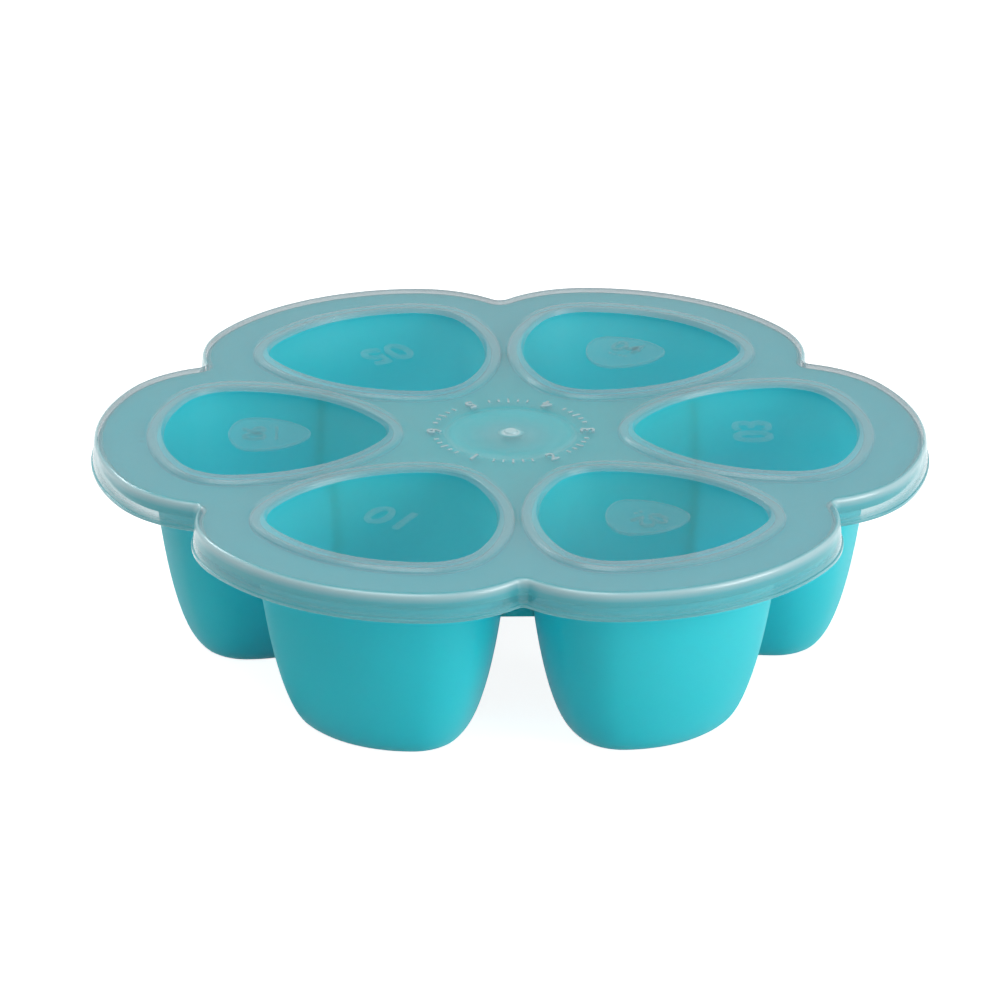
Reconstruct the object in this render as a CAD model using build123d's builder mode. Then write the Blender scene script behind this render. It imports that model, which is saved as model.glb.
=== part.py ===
"""Baby food freezer tray: six silicone cups under one flower-shaped flange, and a translucent lid
that drops over the flange. Millimetres, +Z up, the cups stand on z = 0 and the tray's axis is Z."""

from build123d import *

import os
from math import atan2, cos, degrees, radians, sin, sqrt

# ---- Cups and their lid windows, in plan ----
cup_count = 6
window_corner_offset = 18.7     # from a window's middle to the centre of each of its corner arcs
window_corner_radius = 15.6
window_side_radius = 49.0       # bow of the three sides between the corners
cup_mouth_margin = 4.4          # the cup's outer wall stands this far outside its window
cup_gap = 2.8                   # between neighbouring cups, at their mouths
cup_wall = 2.2

# ---- Cups, in height ----
cup_height = 60.4               # from the base to the top of the flange
cup_base_scale = 0.584          # size of the flat base against the mouth
cup_draft = 0.185               # share of its size that a straight wall would lose on the way down
cup_wall_power = 3.7            # how late the wall turns in towards the base
cup_heel_power = 2.0            # how round the heel is
cup_sections = 8

# ---- Tray flange, rim and webs ----
flange_thickness = 2.0
flange_land = 14.3              # from a window's ring out to the top edge of the lid
notch_radius = 3.0              # inside corner between two lobes
rim_height = 4.4                # turned-down rim, from the top of the flange
rim_thickness = 2.0
rim_edge_radius = 1.2
mouth_bead_height = 0.7         # raised sealing bead round each cup mouth
mouth_bead_radius = 0.5
web_drop = 29.2                 # the webs between cups reach this far below the top of the flange
web_thickness = 2.2
web_bite = 1.0                  # how far a web's foot runs into each cup wall

# ---- Lid ----
lid_wall = 1.1
lid_clearance = 0.4             # between the tray's rim and the lid's skirt
skirt_height = 8.2
skirt_flare = 0.8               # the skirt leans out by this much from top to bottom
shoulder_radius = 2.4
lip_height = 1.0
lip_depth = 0.3
lip_radius = 0.25
ring_width = 5.5
ring_height = 1.0
ring_slope = 1.0                # width of the ring's outer slope
ring_inner_slope = 0.8          # width of the step from the ring down to the window
ring_radius = 0.35
window_drop = 0.6               # the window lies this far below the lid's plate
seat_clearance = 0.3            # between the sealing bead and its groove

# ---- Dished centre ----
dish_radius = 17.0
dish_depth = 0.6
dish_clearance = 0.3            # the tray's dish is this much deeper than the lid's
dish_margin = 2.0               # and its radius is this much larger
gate_radius = 1.9
gate_height = 0.8
gate_edge_radius = 0.4

# ---- Worked out from the sizes above ----
pitch_angle = 360 / cup_count
half_pitch = radians(pitch_angle / 2)


def side_centre_offset(offset, corner, side):
    """Distance from the middle of a rounded triangle back to the centre of each side arc."""
    return sqrt((side - corner) ** 2 - 0.75 * offset**2) - offset / 2


half_step = 60      # from the direction of a window's corner to the middle of the side next to it
window_side_back = side_centre_offset(
    window_corner_offset, window_corner_radius, window_side_radius
)
window_side_reach = window_side_radius - window_side_back
cup_circle = (window_side_reach + cup_mouth_margin + cup_gap / 2) / sin(half_pitch)

# A lobe is its window's outline, grown by the ring and the land
lobe_land = ring_width + flange_land
lobe_circle = cup_circle - window_side_back
corner_x = cup_circle + window_corner_offset * cos(radians(half_step))
corner_y = window_corner_offset * sin(radians(half_step))
corner_circle = sqrt(corner_x**2 + corner_y**2)
corner_lean = atan2(corner_y, corner_x)
corner_to_notch = half_pitch - corner_lean
notch_circle = corner_circle * cos(corner_to_notch) + sqrt(
    (window_corner_radius + lobe_land + notch_radius) ** 2
    - (corner_circle * sin(corner_to_notch)) ** 2
)

flange_top = cup_height
plate_top = flange_top + lid_wall
ring_top = plate_top + ring_height
skirt_bottom = plate_top - skirt_height
skirt_angle = degrees(atan2(skirt_flare, skirt_height))
rim_bottom = flange_top - rim_height
rim_inset = lid_wall + lid_clearance
window_top = plate_top - window_drop
window_bottom = window_top - lid_wall
bead_outer = cup_mouth_margin
bead_inner = cup_mouth_margin - cup_wall
groove_outer = bead_outer + seat_clearance
groove_inner = bead_inner - seat_clearance
groove_top = ring_top - lid_wall
frame_seat = (groove_outer + ring_width) / 2
web_circle = cup_circle * cos(half_pitch)


def skirt_offset(z):
    """How far the lid's outer face has leaned out at height z."""
    return skirt_flare * (plate_top - z) / skirt_height


def rounded_triangle(margin=0.0, scale=1.0, inset=0.0):
    """Closed outline of a cup or window: three corner arcs joined by three bowed sides.

    One corner points to -X. The window's outline is grown by margin, scaled, then shrunk by inset.
    """
    offset = window_corner_offset * scale
    corner = (window_corner_radius + margin) * scale
    side = (window_side_radius + margin) * scale
    back = side_centre_offset(offset, corner, side)
    rise = back * sin(radians(half_step))
    turn = degrees(atan2(rise, offset + back * cos(radians(half_step))))
    for corner_angle in (60, 180, 300):
        along = radians(corner_angle)
        corner_centre = (offset * cos(along), offset * sin(along))
        CenterArc(corner_centre, corner - inset, corner_angle - turn, 2 * turn)
        across = radians(corner_angle + half_step)
        side_centre = (-back * cos(across), -back * sin(across))
        CenterArc(side_centre, side - inset, corner_angle + turn, 2 * (half_step - turn))


def polar(radius, angle):
    """A point of the plan, from its distance to the tray's axis and its direction in degrees."""
    return (radius * cos(radians(angle)), radius * sin(radians(angle)))


def flower(margin=0.0):
    """Closed outline of the flange and the lid.

    Each lobe is an outer arc between two corner arcs, and a small notch arc joins it to the next.
    """
    notch_x, notch_y = polar(notch_circle, pitch_angle / 2)
    lobe_turn = degrees(atan2(corner_y, corner_x - lobe_circle))
    corner_turn = degrees(atan2(notch_y - corner_y, notch_x - corner_x))
    notch_turn = corner_turn - pitch_angle / 2
    lean = degrees(corner_lean)
    outer = window_side_radius + lobe_land + margin
    corner = window_corner_radius + lobe_land + margin
    for lobe in range(cup_count):
        along = lobe * pitch_angle
        across = along + pitch_angle / 2
        bend = corner_turn - lobe_turn
        CenterArc(polar(corner_circle, along - lean), corner, along - corner_turn, bend)
        CenterArc(polar(lobe_circle, along), outer, along - lobe_turn, 2 * lobe_turn)
        CenterArc(polar(corner_circle, along + lean), corner, along + lobe_turn, bend)
        notch = notch_radius - margin
        CenterArc(polar(notch_circle, across), notch, across + 180 + notch_turn, -2 * notch_turn)


def cup_scale(depth):
    """Size of the cup against its mouth, at a depth that runs from 0 at the mouth to 1."""
    straight = 1 - cup_draft * depth - cup_base_scale
    return cup_base_scale + straight * (1 - depth**cup_wall_power) ** (1 / cup_heel_power)


def cup_depths():
    """Depths of the cup's sections, close together where the heel turns."""
    return [sin(radians(90 * step / cup_sections)) for step in range(cup_sections + 1)]


def web_width():
    """Width of a web at its foot, from just inside one cup wall to just inside the next."""
    mouth_reach = window_side_reach + cup_mouth_margin
    foot_reach = mouth_reach * cup_scale(web_drop / cup_height)
    return 2 * (cup_circle * sin(half_pitch) - foot_reach + web_bite)


def dish(radius, depth, z):
    """Half section of a shallow spherical dish, in the XZ plane, with its brim at height z."""
    TangentArc((0, z - depth), (radius, z), tangent=(1, 0))
    Polyline((radius, z), (0, z), (0, z - depth))


# ---- One cup, about its own middle: its outside, its inside and its sealing bead ----
with BuildPart() as cup_outside:
    for depth in cup_depths():
        with BuildSketch(Plane.XY.offset(flange_top - depth * cup_height)):
            with BuildLine():
                rounded_triangle(cup_mouth_margin, cup_scale(depth))
            make_face()
    loft()

with BuildPart() as cup_inside:
    for depth in cup_depths():
        with BuildSketch(Plane.XY.offset(flange_top - depth * (cup_height - cup_wall))):
            with BuildLine():
                rounded_triangle(cup_mouth_margin, cup_scale(depth), cup_wall)
            make_face()
    loft()

with BuildPart() as mouth_bead:
    with BuildSketch(Plane.XY.offset(flange_top - flange_thickness)):
        with BuildLine():
            rounded_triangle(bead_outer)
        make_face()
        with BuildLine():
            rounded_triangle(bead_inner)
        make_face(mode=Mode.SUBTRACT)
    extrude(amount=flange_thickness + mouth_bead_height)
    fillet(mouth_bead.faces().sort_by(Axis.Z)[-1].edges(), mouth_bead_radius)

# ---- Tray: flange, turned-down rim, webs, dished middle, cups and beads, moulded in one ----
with BuildPart() as tray:
    with BuildSketch(Plane.XY.offset(rim_bottom)):
        with BuildLine():
            flower(skirt_offset(rim_bottom) - rim_inset)
        make_face()
    extrude(amount=rim_height, taper=skirt_angle)
    fillet(tray.faces().sort_by(Axis.Z)[-1].edges(), rim_edge_radius)
    with BuildSketch(Plane.XY.offset(rim_bottom)):
        with BuildLine():
            flower(skirt_offset(rim_bottom) - rim_inset - rim_thickness)
        make_face()
    extrude(amount=rim_height - flange_thickness, taper=skirt_angle, mode=Mode.SUBTRACT)

    with BuildSketch(Plane.XY.offset(flange_top - web_drop)):
        with PolarLocations(web_circle, cup_count, start_angle=pitch_angle / 2):
            Rectangle(web_thickness, web_width())
    extrude(amount=web_drop - flange_thickness)

    with BuildSketch(Plane.XZ):
        with BuildLine():
            dish(dish_radius + dish_margin, dish_depth, flange_top - flange_thickness)
        make_face()
    revolve(axis=Axis.Z)
    with BuildSketch(Plane.XZ):
        with BuildLine():
            dish(dish_radius + dish_margin, dish_depth + dish_clearance, flange_top)
        make_face()
    revolve(axis=Axis.Z, mode=Mode.SUBTRACT)

    with PolarLocations(cup_circle, cup_count):
        add(cup_outside.part)
    with PolarLocations(cup_circle, cup_count):
        add(cup_inside.part, mode=Mode.SUBTRACT)
    with PolarLocations(cup_circle, cup_count):
        add(mouth_bead.part)

# ---- One window of the lid, about its own middle: its ring, its groove and its sunk panel ----
with BuildPart() as frame_hole:
    with BuildSketch(Plane.XY.offset(flange_top)):
        with BuildLine():
            rounded_triangle(frame_seat)
        make_face()
    extrude(amount=lid_wall)

with BuildPart() as window_frame:
    with BuildSketch(Plane.XY.offset(flange_top)):
        with BuildLine():
            rounded_triangle(ring_width)
        make_face()
    extrude(amount=lid_wall)
    for z, margin in ((plate_top, ring_width), (ring_top, ring_width - ring_slope)):
        with BuildSketch(Plane.XY.offset(z)):
            with BuildLine():
                rounded_triangle(margin)
            make_face()
    loft(ruled=True)
    with BuildSketch(Plane.XY.offset(window_bottom)):
        with BuildLine():
            rounded_triangle(groove_inner)
        make_face()
    extrude(amount=flange_top - window_bottom)
    with BuildSketch(Plane.XY.offset(flange_top)):
        with BuildLine():
            rounded_triangle(groove_outer)
        make_face()
        with BuildLine():
            rounded_triangle(groove_inner)
        make_face(mode=Mode.SUBTRACT)
    extrude(amount=groove_top - flange_top, mode=Mode.SUBTRACT)
    for z, margin in ((window_top, 0), (ring_top, ring_inner_slope)):
        with BuildSketch(Plane.XY.offset(z)):
            with BuildLine():
                rounded_triangle(margin)
            make_face()
    loft(ruled=True, mode=Mode.SUBTRACT)
    fillet(window_frame.faces().sort_by(Axis.Z)[-1].edges(), ring_radius)

# ---- Lid: plate and flared skirt with a lip, six windows, a dish with its gate mark ----
with BuildPart() as skirt_lip:
    with BuildSketch(Plane.XY.offset(skirt_bottom)):
        with BuildLine():
            flower(skirt_flare + lip_depth)
        make_face()
    extrude(amount=lip_height)
    fillet(skirt_lip.edges().filter_by(Axis.Z, reverse=True), lip_radius)

with BuildPart() as lid_hollow:
    with BuildSketch(Plane.XY.offset(skirt_bottom)):
        with BuildLine():
            flower(skirt_flare - lid_wall)
        make_face()
    extrude(amount=skirt_height - lid_wall, taper=skirt_angle)
    fillet(lid_hollow.faces().sort_by(Axis.Z)[-1].edges(), shoulder_radius - lid_wall)

with BuildPart() as lid:
    with BuildSketch(Plane.XY.offset(skirt_bottom)):
        with BuildLine():
            flower(skirt_flare)
        make_face()
    extrude(amount=skirt_height, taper=skirt_angle)
    fillet(lid.faces().sort_by(Axis.Z)[-1].edges(), shoulder_radius)
    add(skirt_lip.part)
    add(lid_hollow.part, mode=Mode.SUBTRACT)

    with PolarLocations(cup_circle, cup_count):
        add(frame_hole.part, mode=Mode.SUBTRACT)
    with PolarLocations(cup_circle, cup_count):
        add(window_frame.part)

    with BuildSketch(Plane.XZ):
        with BuildLine():
            dish(dish_radius, dish_depth, flange_top)
        make_face()
    revolve(axis=Axis.Z)
    with BuildSketch(Plane.XZ):
        with BuildLine():
            dish(dish_radius, dish_depth, plate_top)
        make_face()
    revolve(axis=Axis.Z, mode=Mode.SUBTRACT)
    with BuildSketch(Plane.XY.offset(plate_top - dish_depth - lid_wall / 2)):
        Circle(gate_radius)
    gate_mark = extrude(amount=lid_wall / 2 + gate_height)
    fillet(gate_mark.edges().group_by(Axis.Z)[-1], gate_edge_radius)

# ---- The two finished pieces ----
os.makedirs("parts", exist_ok=True)
tray.part.label = "tray"
lid.part.label = "lid"
export_step(tray.part, "parts/tray.step")
export_step(lid.part, "parts/lid.step")
print("tray", round(tray.part.volume), "mm3, lid", round(lid.part.volume), "mm3")
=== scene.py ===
"""Baby food freezer tray: a soft silicone tray of six cups under a frosted, translucent lid.

The file is laid out as an add-on. Each operator makes one piece, or one group of like pieces, around
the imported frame, and the panel lists them in the order in which main() runs them. Everything is in
metres, with +Z up and the cups standing on z = 0.
"""

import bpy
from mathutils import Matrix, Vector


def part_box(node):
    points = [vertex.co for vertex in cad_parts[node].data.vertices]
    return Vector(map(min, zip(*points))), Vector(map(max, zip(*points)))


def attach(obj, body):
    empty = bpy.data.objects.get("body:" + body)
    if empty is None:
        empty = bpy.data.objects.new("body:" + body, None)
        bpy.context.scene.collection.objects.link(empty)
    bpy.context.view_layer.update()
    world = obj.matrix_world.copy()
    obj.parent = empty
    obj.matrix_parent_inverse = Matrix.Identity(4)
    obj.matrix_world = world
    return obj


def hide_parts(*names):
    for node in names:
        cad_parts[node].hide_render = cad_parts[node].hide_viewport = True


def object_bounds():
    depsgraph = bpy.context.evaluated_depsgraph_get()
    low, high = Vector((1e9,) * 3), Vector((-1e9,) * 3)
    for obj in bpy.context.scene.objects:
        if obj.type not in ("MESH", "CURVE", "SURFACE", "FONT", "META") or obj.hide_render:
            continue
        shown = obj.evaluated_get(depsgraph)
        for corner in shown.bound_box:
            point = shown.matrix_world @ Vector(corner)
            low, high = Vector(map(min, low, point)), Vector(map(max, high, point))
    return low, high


bl_info = {
    "name": "Baby Food Freezer Tray",
    "version": (1, 0, 0),
    "blender": (4, 5, 0),
    "location": "3D View > Sidebar > Freezer Tray",
    "description": "Builds a six-cup silicone freezer tray and its translucent lid",
    "category": "Add Mesh",
}

from collections import namedtuple
from math import acos, atan2, cos, hypot, pi, radians, sin, sqrt, tan, tau

import bmesh
import bpy
from mathutils import Matrix, Vector

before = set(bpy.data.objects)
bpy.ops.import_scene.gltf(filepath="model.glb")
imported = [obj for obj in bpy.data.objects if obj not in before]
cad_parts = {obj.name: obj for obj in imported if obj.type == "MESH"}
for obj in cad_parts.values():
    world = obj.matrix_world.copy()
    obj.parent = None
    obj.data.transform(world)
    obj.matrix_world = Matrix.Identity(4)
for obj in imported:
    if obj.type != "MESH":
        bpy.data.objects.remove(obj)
cad_low, cad_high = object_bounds()
tray_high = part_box("tray")[1]
lid_low, lid_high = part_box("lid")

MM = 0.001
MERGE = 0.000002        # points closer than this are one
SHARP = radians(38)     # edges that turn more than this stay crisp
WHITE = (1, 1, 1, 1)

# How matt and milky the lid is: 0 is polished, 1 is the plate, and more also mixes in a painted
# highlight, a pale colour for light that edges catch.
CLEAR, MILKY = 0.0, 1.0
SKIRT_FROST = 0.08
DISH_FROST = 0.5
RING_FROST_AND_HIGHLIGHT = 1.3
SHOULDER_FROST_AND_HIGHLIGHT = 1.7
DIAL_FROST_AND_HIGHLIGHT = 2.2
GATE_FROST_AND_HIGHLIGHT = 3.0
GATE_CLEARING = 0.4     # share of the frost that the middle of the lid loses

# How much the lid hides as an edge, where it is also painted in a teal that stands in for light the
# silicone scatters into it: 0 is the plate, and 1 is the skirt's foot.
SKIRT_VEIL = 0.12       # at the top of the skirt, and from here on it has the painted silicone tint
# Painted shade: the middle of the lid is veiled in the teal tint so that the dish reads darker.
DISH_PAINTED_SHADE = 0.45


def length(name, description, millimetres):
    """A size property, given in millimetres and kept in metres."""
    return bpy.props.FloatProperty(
        name=name, description=description, default=millimetres * MM, unit="LENGTH", precision=5
    )


def share(name, description, value):
    """A property from 0 to 1."""
    return bpy.props.FloatProperty(
        name=name, description=description, default=value, min=0.0, max=1.0, subtype="FACTOR"
    )


def tint(name, description, red, green, blue):
    """A colour property."""
    return bpy.props.FloatVectorProperty(
        name=name, description=description, default=(red, green, blue), size=3, subtype="COLOR"
    )


def turn(name, description, value):
    """An angle property, given in degrees."""
    return bpy.props.FloatProperty(
        name=name, description=description, default=radians(value), subtype="ANGLE"
    )


# ---- Sizes and colours that a user would change ----
class PlanSizes(bpy.types.PropertyGroup):
    """Outlines that the tray and the lid share, seen from above."""

    cup_count: bpy.props.IntProperty(
        name="Cups", description="Number of cups round the tray", default=6, min=3
    )
    corner_offset: length("Corner offset", "Window's middle to each corner arc's centre", 18.7)
    corner_radius: length("Corner radius", "Radius of a window's three corners", 15.6)
    side_radius: length("Side radius", "Bow of a window's three sides", 49.0)
    mouth_margin: length("Mouth margin", "Cup's outer wall outside its window", 4.4)
    cup_gap: length("Cup gap", "Between neighbouring cups at their mouths", 2.8)
    ring_width: length("Ring width", "Raised ring round each window", 5.5)
    land: length("Land", "From a window's ring out to the lid's top edge", 14.3)
    notch_radius: length("Notch radius", "Inside corner between two lobes", 3.0)
    skirt_flare: length("Skirt flare", "How far the skirt leans out", 0.8)


class TraySizes(bpy.types.PropertyGroup):
    """Sizes of the silicone tray."""

    wall: length("Cup wall", "Thickness of the cup walls", 2.2)
    base_scale: share("Base scale", "Size of a cup's base against its mouth", 0.584)
    draft: share("Draft", "Share of its size that a straight cup wall loses", 0.185)
    wall_power: bpy.props.FloatProperty(
        name="Wall power", description="How late the cup wall turns in", default=3.7, min=1
    )
    flange: length("Flange", "Thickness of the flange", 2.0)
    rim_height: length("Rim height", "Turned-down rim", 4.4)
    rim_wall: length("Rim wall", "Thickness of the rim", 2.0)
    rim_edge: length("Rim edge", "Radius of the flange's outer edge", 1.2)
    bead_height: length("Bead height", "Sealing bead round each mouth", 0.7)
    bead_radius: length("Bead radius", "Rounding of the sealing bead", 0.5)
    web_drop: length("Web drop", "Reach of the webs below the flange's top", 29.2)
    web_wall: length("Web wall", "Thickness of the webs", 2.2)
    web_bite: length("Web bite", "How far a web runs into the cup wall", 1.0)
    web_edge: length("Web edge", "Rounding of a web's foot", 0.5)
    dish_radius: length("Dish radius", "Dished middle of the tray", 19.0)
    dish_depth: length("Dish depth", "Depth of the tray's dish", 0.9)


class LidSizes(bpy.types.PropertyGroup):
    """Sizes of the translucent lid."""

    wall: length("Wall", "Thickness of the lid", 1.1)
    clearance: length("Clearance", "Between the tray's rim and the skirt", 0.4)
    shoulder: length("Shoulder", "Radius of the lid's top edge", 2.4)
    lip_height: length("Lip height", "Lip at the foot of the skirt", 1.0)
    lip_depth: length("Lip depth", "How far the lip stands out", 0.3)
    lip_radius: length("Lip radius", "Rounding of the lip", 0.25)
    ring_height: length("Ring height", "Raised ring round each window", 1.0)
    ring_slope: length("Ring slope", "Width of the ring's outer slope", 1.0)
    ring_step: length("Ring step", "Width of the step down to the window", 0.8)
    ring_radius: length("Ring radius", "Rounding of the ring's edges", 0.35)
    ring_crown: length("Ring crown", "How much the ring's top is crowned", 0.06)
    window_drop: length("Window drop", "Window below the plate", 0.6)
    seat_gap: length("Seat gap", "Between the sealing bead and its groove", 0.3)
    dish_radius: length("Dish radius", "Dished middle of the lid", 17.0)
    dish_depth: length("Dish depth", "Depth of the lid's dish", 0.6)
    gate_radius: length("Gate radius", "Moulding gate mark", 1.9)
    gate_height: length("Gate height", "Height of the gate mark", 0.8)


class MarkSizes(bpy.types.PropertyGroup):
    """Sizes of the moulded pads, compartment numbers and dial."""

    frost: share("Frost", "How milky the marks in the windows are", 0.2)
    pad_scale: share("Pad scale", "Size of a pad against its window", 0.372)
    pad_relief: length("Pad relief", "Height of a pad", 0.25)
    number_relief: length("Number relief", "Height of the numbers", 0.22)
    window_number: length("Window number", "Height of the numbers in the plain windows", 11.5)
    pad_number: length("Pad number", "Height of the numbers on the pads", 7.0)
    pad_dot: length("Pad dot", "Radius of the dots under a pad's number", 0.55)
    dial_radius: length("Dial radius", "Middle of the dial's numbers", 22.2)
    dial_number: length("Dial number", "Height of the dial's numbers", 4.2)
    tick_length: length("Tick length", "Length of the dial's ticks", 2.4)
    tick_width: length("Tick width", "Width of the dial's ticks", 0.6)


class Finish(bpy.types.PropertyGroup):
    """Colours and surface of the two materials."""

    silicone: tint("Silicone", "Body colour of the silicone", 0.03, 0.71, 0.81)
    silicone_bloom: tint("Silicone bloom", "Chalky bloom on the silicone", 0.12, 0.74, 0.83)
    silicone_depth: length("Silicone depth", "How far light travels inside the silicone", 6.0)
    lid_clear: tint("Clear plastic", "Colour of the polished windows", 0.20, 0.46, 0.50)
    lid_frost: tint("Frosted plastic", "Colour of the frosted plate", 0.31, 0.43, 0.48)
    # Painted highlight: this pale colour is mixed onto the shoulder, ring tops, dial and gate to
    # stand in for light that they catch.
    lid_pale: tint("Pale plastic", "Colour of rounded edges, which gather light", 0.46, 0.68, 0.72)
    # Painted light: teal that stands in for the silicone's light scattered through the skirt, also
    # used as painted shade in the dish.
    lid_edge: tint("Plastic edge", "Colour that the skirt draws from the silicone", 0.08, 0.48, 0.54)
    clear_cover: share("Window cover", "How much one face of a window hides", 0.03)
    frost_cover: share("Frost cover", "How much one face of the plate hides", 0.32)
    edge_cover: share("Edge cover", "How much one face of the skirt's foot hides", 0.60)
    grazing_cover: share("Grazing cover", "What the skirt's foot hides when seen edge on", 0.85)


class Studio(bpy.types.PropertyGroup):
    """Camera and lamps."""

    aim_height: length("Aim height", "Height that the camera turns about", 61.7)
    distance: length("Distance", "Camera from the tray's axis", 1601.2)
    elevation: turn("Elevation", "Camera above the horizon", 22.916)
    azimuth: turn("Azimuth", "Turn of the camera round the tray", -2.03)
    pan: turn("Pan", "Camera turned aside from the axis", 0.105)
    tilt: turn("Tilt", "Camera tipped below the aim point", -0.718)
    roll: turn("Roll", "Camera rolled about its line of sight", -0.423)
    sensor: length("Sensor", "Width of the camera's sensor", 36.0)
    focal: length("Focal length", "Focal length of the lens", 201.66)
    key_power: bpy.props.FloatProperty(
        name="Key", description="Softbox on the right", default=9.5, subtype="POWER"
    )
    back_power: bpy.props.FloatProperty(
        name="Back", description="Softbox behind, on the left", default=3.5, subtype="POWER"
    )
    top_power: bpy.props.FloatProperty(
        name="Top", description="Overhead softbox", default=6.0, subtype="POWER"
    )
    ambient: share("Ambient", "Even light from all round", 0.29)


# ---- Outlines in plan ----
def direction(start, end):
    """Angle of the line from one point of the plan to another."""
    return atan2(end.y - start.y, end.x - start.x)


def arc(centre, radius, start, end, steps):
    """Points along an arc of the plan."""
    points = []
    for step in range(steps + 1):
        angle = start + (end - start) * step / steps
        points.append(centre + radius * Vector((cos(angle), sin(angle), 0)))
    return points


class Plan:
    """Outlines of the cups, the windows and the flower, worked out from the plan sizes."""

    def __init__(self, sizes):
        self.sizes = sizes
        gap = sizes.side_radius - sizes.corner_radius
        self.side_back = sqrt(gap**2 - 0.75 * sizes.corner_offset**2) - sizes.corner_offset / 2
        self.side_reach = sizes.side_radius - self.side_back
        self.pitch = tau / sizes.cup_count
        half = self.pitch / 2
        self.cup_circle = (self.side_reach + sizes.mouth_margin + sizes.cup_gap / 2) / sin(half)
        land = sizes.ring_width + sizes.land
        self.lobe_centre = Vector((self.cup_circle - self.side_back, 0, 0))
        self.lobe_radius = sizes.side_radius + land
        corner = sizes.corner_offset * Vector((cos(pi / 3), sin(pi / 3), 0))
        self.corner_centre = Vector((self.cup_circle, 0, 0)) + corner
        self.lobe_corner = sizes.corner_radius + land
        to_notch = half - atan2(self.corner_centre.y, self.corner_centre.x)
        reach = self.lobe_corner + sizes.notch_radius
        away = self.corner_centre.length
        notch = away * cos(to_notch) + sqrt(reach**2 - (away * sin(to_notch)) ** 2)
        self.notch_centre = Vector((notch * cos(half), notch * sin(half), 0))
        self.lobe_turn = direction(self.lobe_centre, self.corner_centre)
        self.corner_turn = direction(self.corner_centre, self.notch_centre)

    def reach(self, angle, margin=0.0, scale=1.0, inset=0.0):
        """Distance from a cup's middle to its rounded triangle, in one direction.

        The window's outline is grown by margin, scaled, then shrunk by inset. One corner points to
        the middle of the tray, which is at angle pi.
        """
        third = tau / 3
        off_corner = abs((angle - pi + third / 2) % third - third / 2)
        offset = self.sizes.corner_offset * scale
        back = self.side_back * scale
        corner = (self.sizes.corner_radius + margin) * scale - inset
        side = (self.sizes.side_radius + margin) * scale - inset
        side_x, side_y = -back * cos(third / 2), -back * sin(third / 2)
        away = hypot(offset - side_x, side_y)
        joint_x = side_x + side * (offset - side_x) / away
        joint_y = side_y - side * side_y / away
        if off_corner <= atan2(joint_y, joint_x):
            return offset * cos(off_corner) + sqrt(corner**2 - (offset * sin(off_corner)) ** 2)
        off_side = third / 2 - off_corner
        return -back * cos(off_side) + sqrt(side**2 - (back * sin(off_side)) ** 2)

    def lobe_edge(self, margin, lobe_steps=14, corner_steps=16, notch_steps=10):
        """Half of one lobe of the flower's outline, from its tip to the middle of the notch."""
        notch_start = pi + self.corner_turn
        notch_end = pi + self.pitch / 2
        outer = arc(self.lobe_centre, self.lobe_radius + margin, 0, self.lobe_turn, lobe_steps)
        radius = self.lobe_corner + margin
        corner = arc(self.corner_centre, radius, self.lobe_turn, self.corner_turn, corner_steps)
        radius = self.sizes.notch_radius - margin
        notch = arc(self.notch_centre, radius, notch_start, notch_end, notch_steps)
        return outer + corner[1:] + notch[1:]

    def hub_edge(self, radius, steps=10):
        """Half of one sector's share of a circle about the axis, from the gap to the cup's line."""
        return [
            Vector((radius * cos(angle), radius * sin(angle), 0))
            for angle in (self.pitch / 2 * (1 - step / steps) for step in range(steps + 1))
        ]

    def sector_edge(self, margin, hub_radius, side_steps=44):
        """Outline of one cup's sector: the lobe, the lines half way to its neighbours, the hub."""
        lobe = self.lobe_edge(margin)
        hub = self.hub_edge(hub_radius)
        centre = Vector((self.cup_circle, 0, 0))
        first = atan2(lobe[-1].y, lobe[-1].x - centre.x)
        last = atan2(hub[0].y, hub[0].x - centre.x)
        slope = tan(self.pitch / 2)
        side = []
        for step in range(1, side_steps):
            angle = first + (last - first) * step / side_steps
            along = self.cup_circle * slope / (sin(angle) - slope * cos(angle))
            side.append(centre + along * Vector((cos(angle), sin(angle), 0)))
        half = lobe + side + hub
        mirrored = [Vector((point.x, -point.y, 0)) for point in reversed(half[1:-1])]
        return half + mirrored


Ring = namedtuple("Ring", "height margin scale inset frost", defaults=(0.0, 1.0, 0.0, 1.0))


def rounded(points, radii, steps=4):
    """A profile of (across, height) points with its inner corners rounded."""
    straight = radians(179)
    longest = 0.49      # share of a side that one rounded corner may take
    profile = [points[0]]
    for before, corner, after, radius in zip(points, points[1:], points[2:], radii):
        corner = Vector(corner)
        into = (Vector(before) - corner).normalized()
        out = (Vector(after) - corner).normalized()
        opening = acos(max(-1.0, min(1.0, into.dot(out))))
        if radius <= 0 or opening > straight:
            profile.append(tuple(corner))
            continue
        tangent = min(radius / tan(opening / 2), (Vector(before) - corner).length * longest)
        tangent = min(tangent, (Vector(after) - corner).length * longest)
        radius = tangent * tan(opening / 2)
        middle = corner + (into + out).normalized() * (radius / sin(opening / 2))
        start, end = corner + into * tangent - middle, corner + out * tangent - middle
        sweep = atan2(start.x * end.y - start.y * end.x, start.dot(end))
        for step in range(steps + 1):
            angle = sweep * step / steps
            turned = Vector(
                (
                    start.x * cos(angle) - start.y * sin(angle),
                    start.x * sin(angle) + start.y * cos(angle),
                )
            )
            profile.append(tuple(middle + turned))
    profile.append(points[-1])
    return profile


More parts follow.
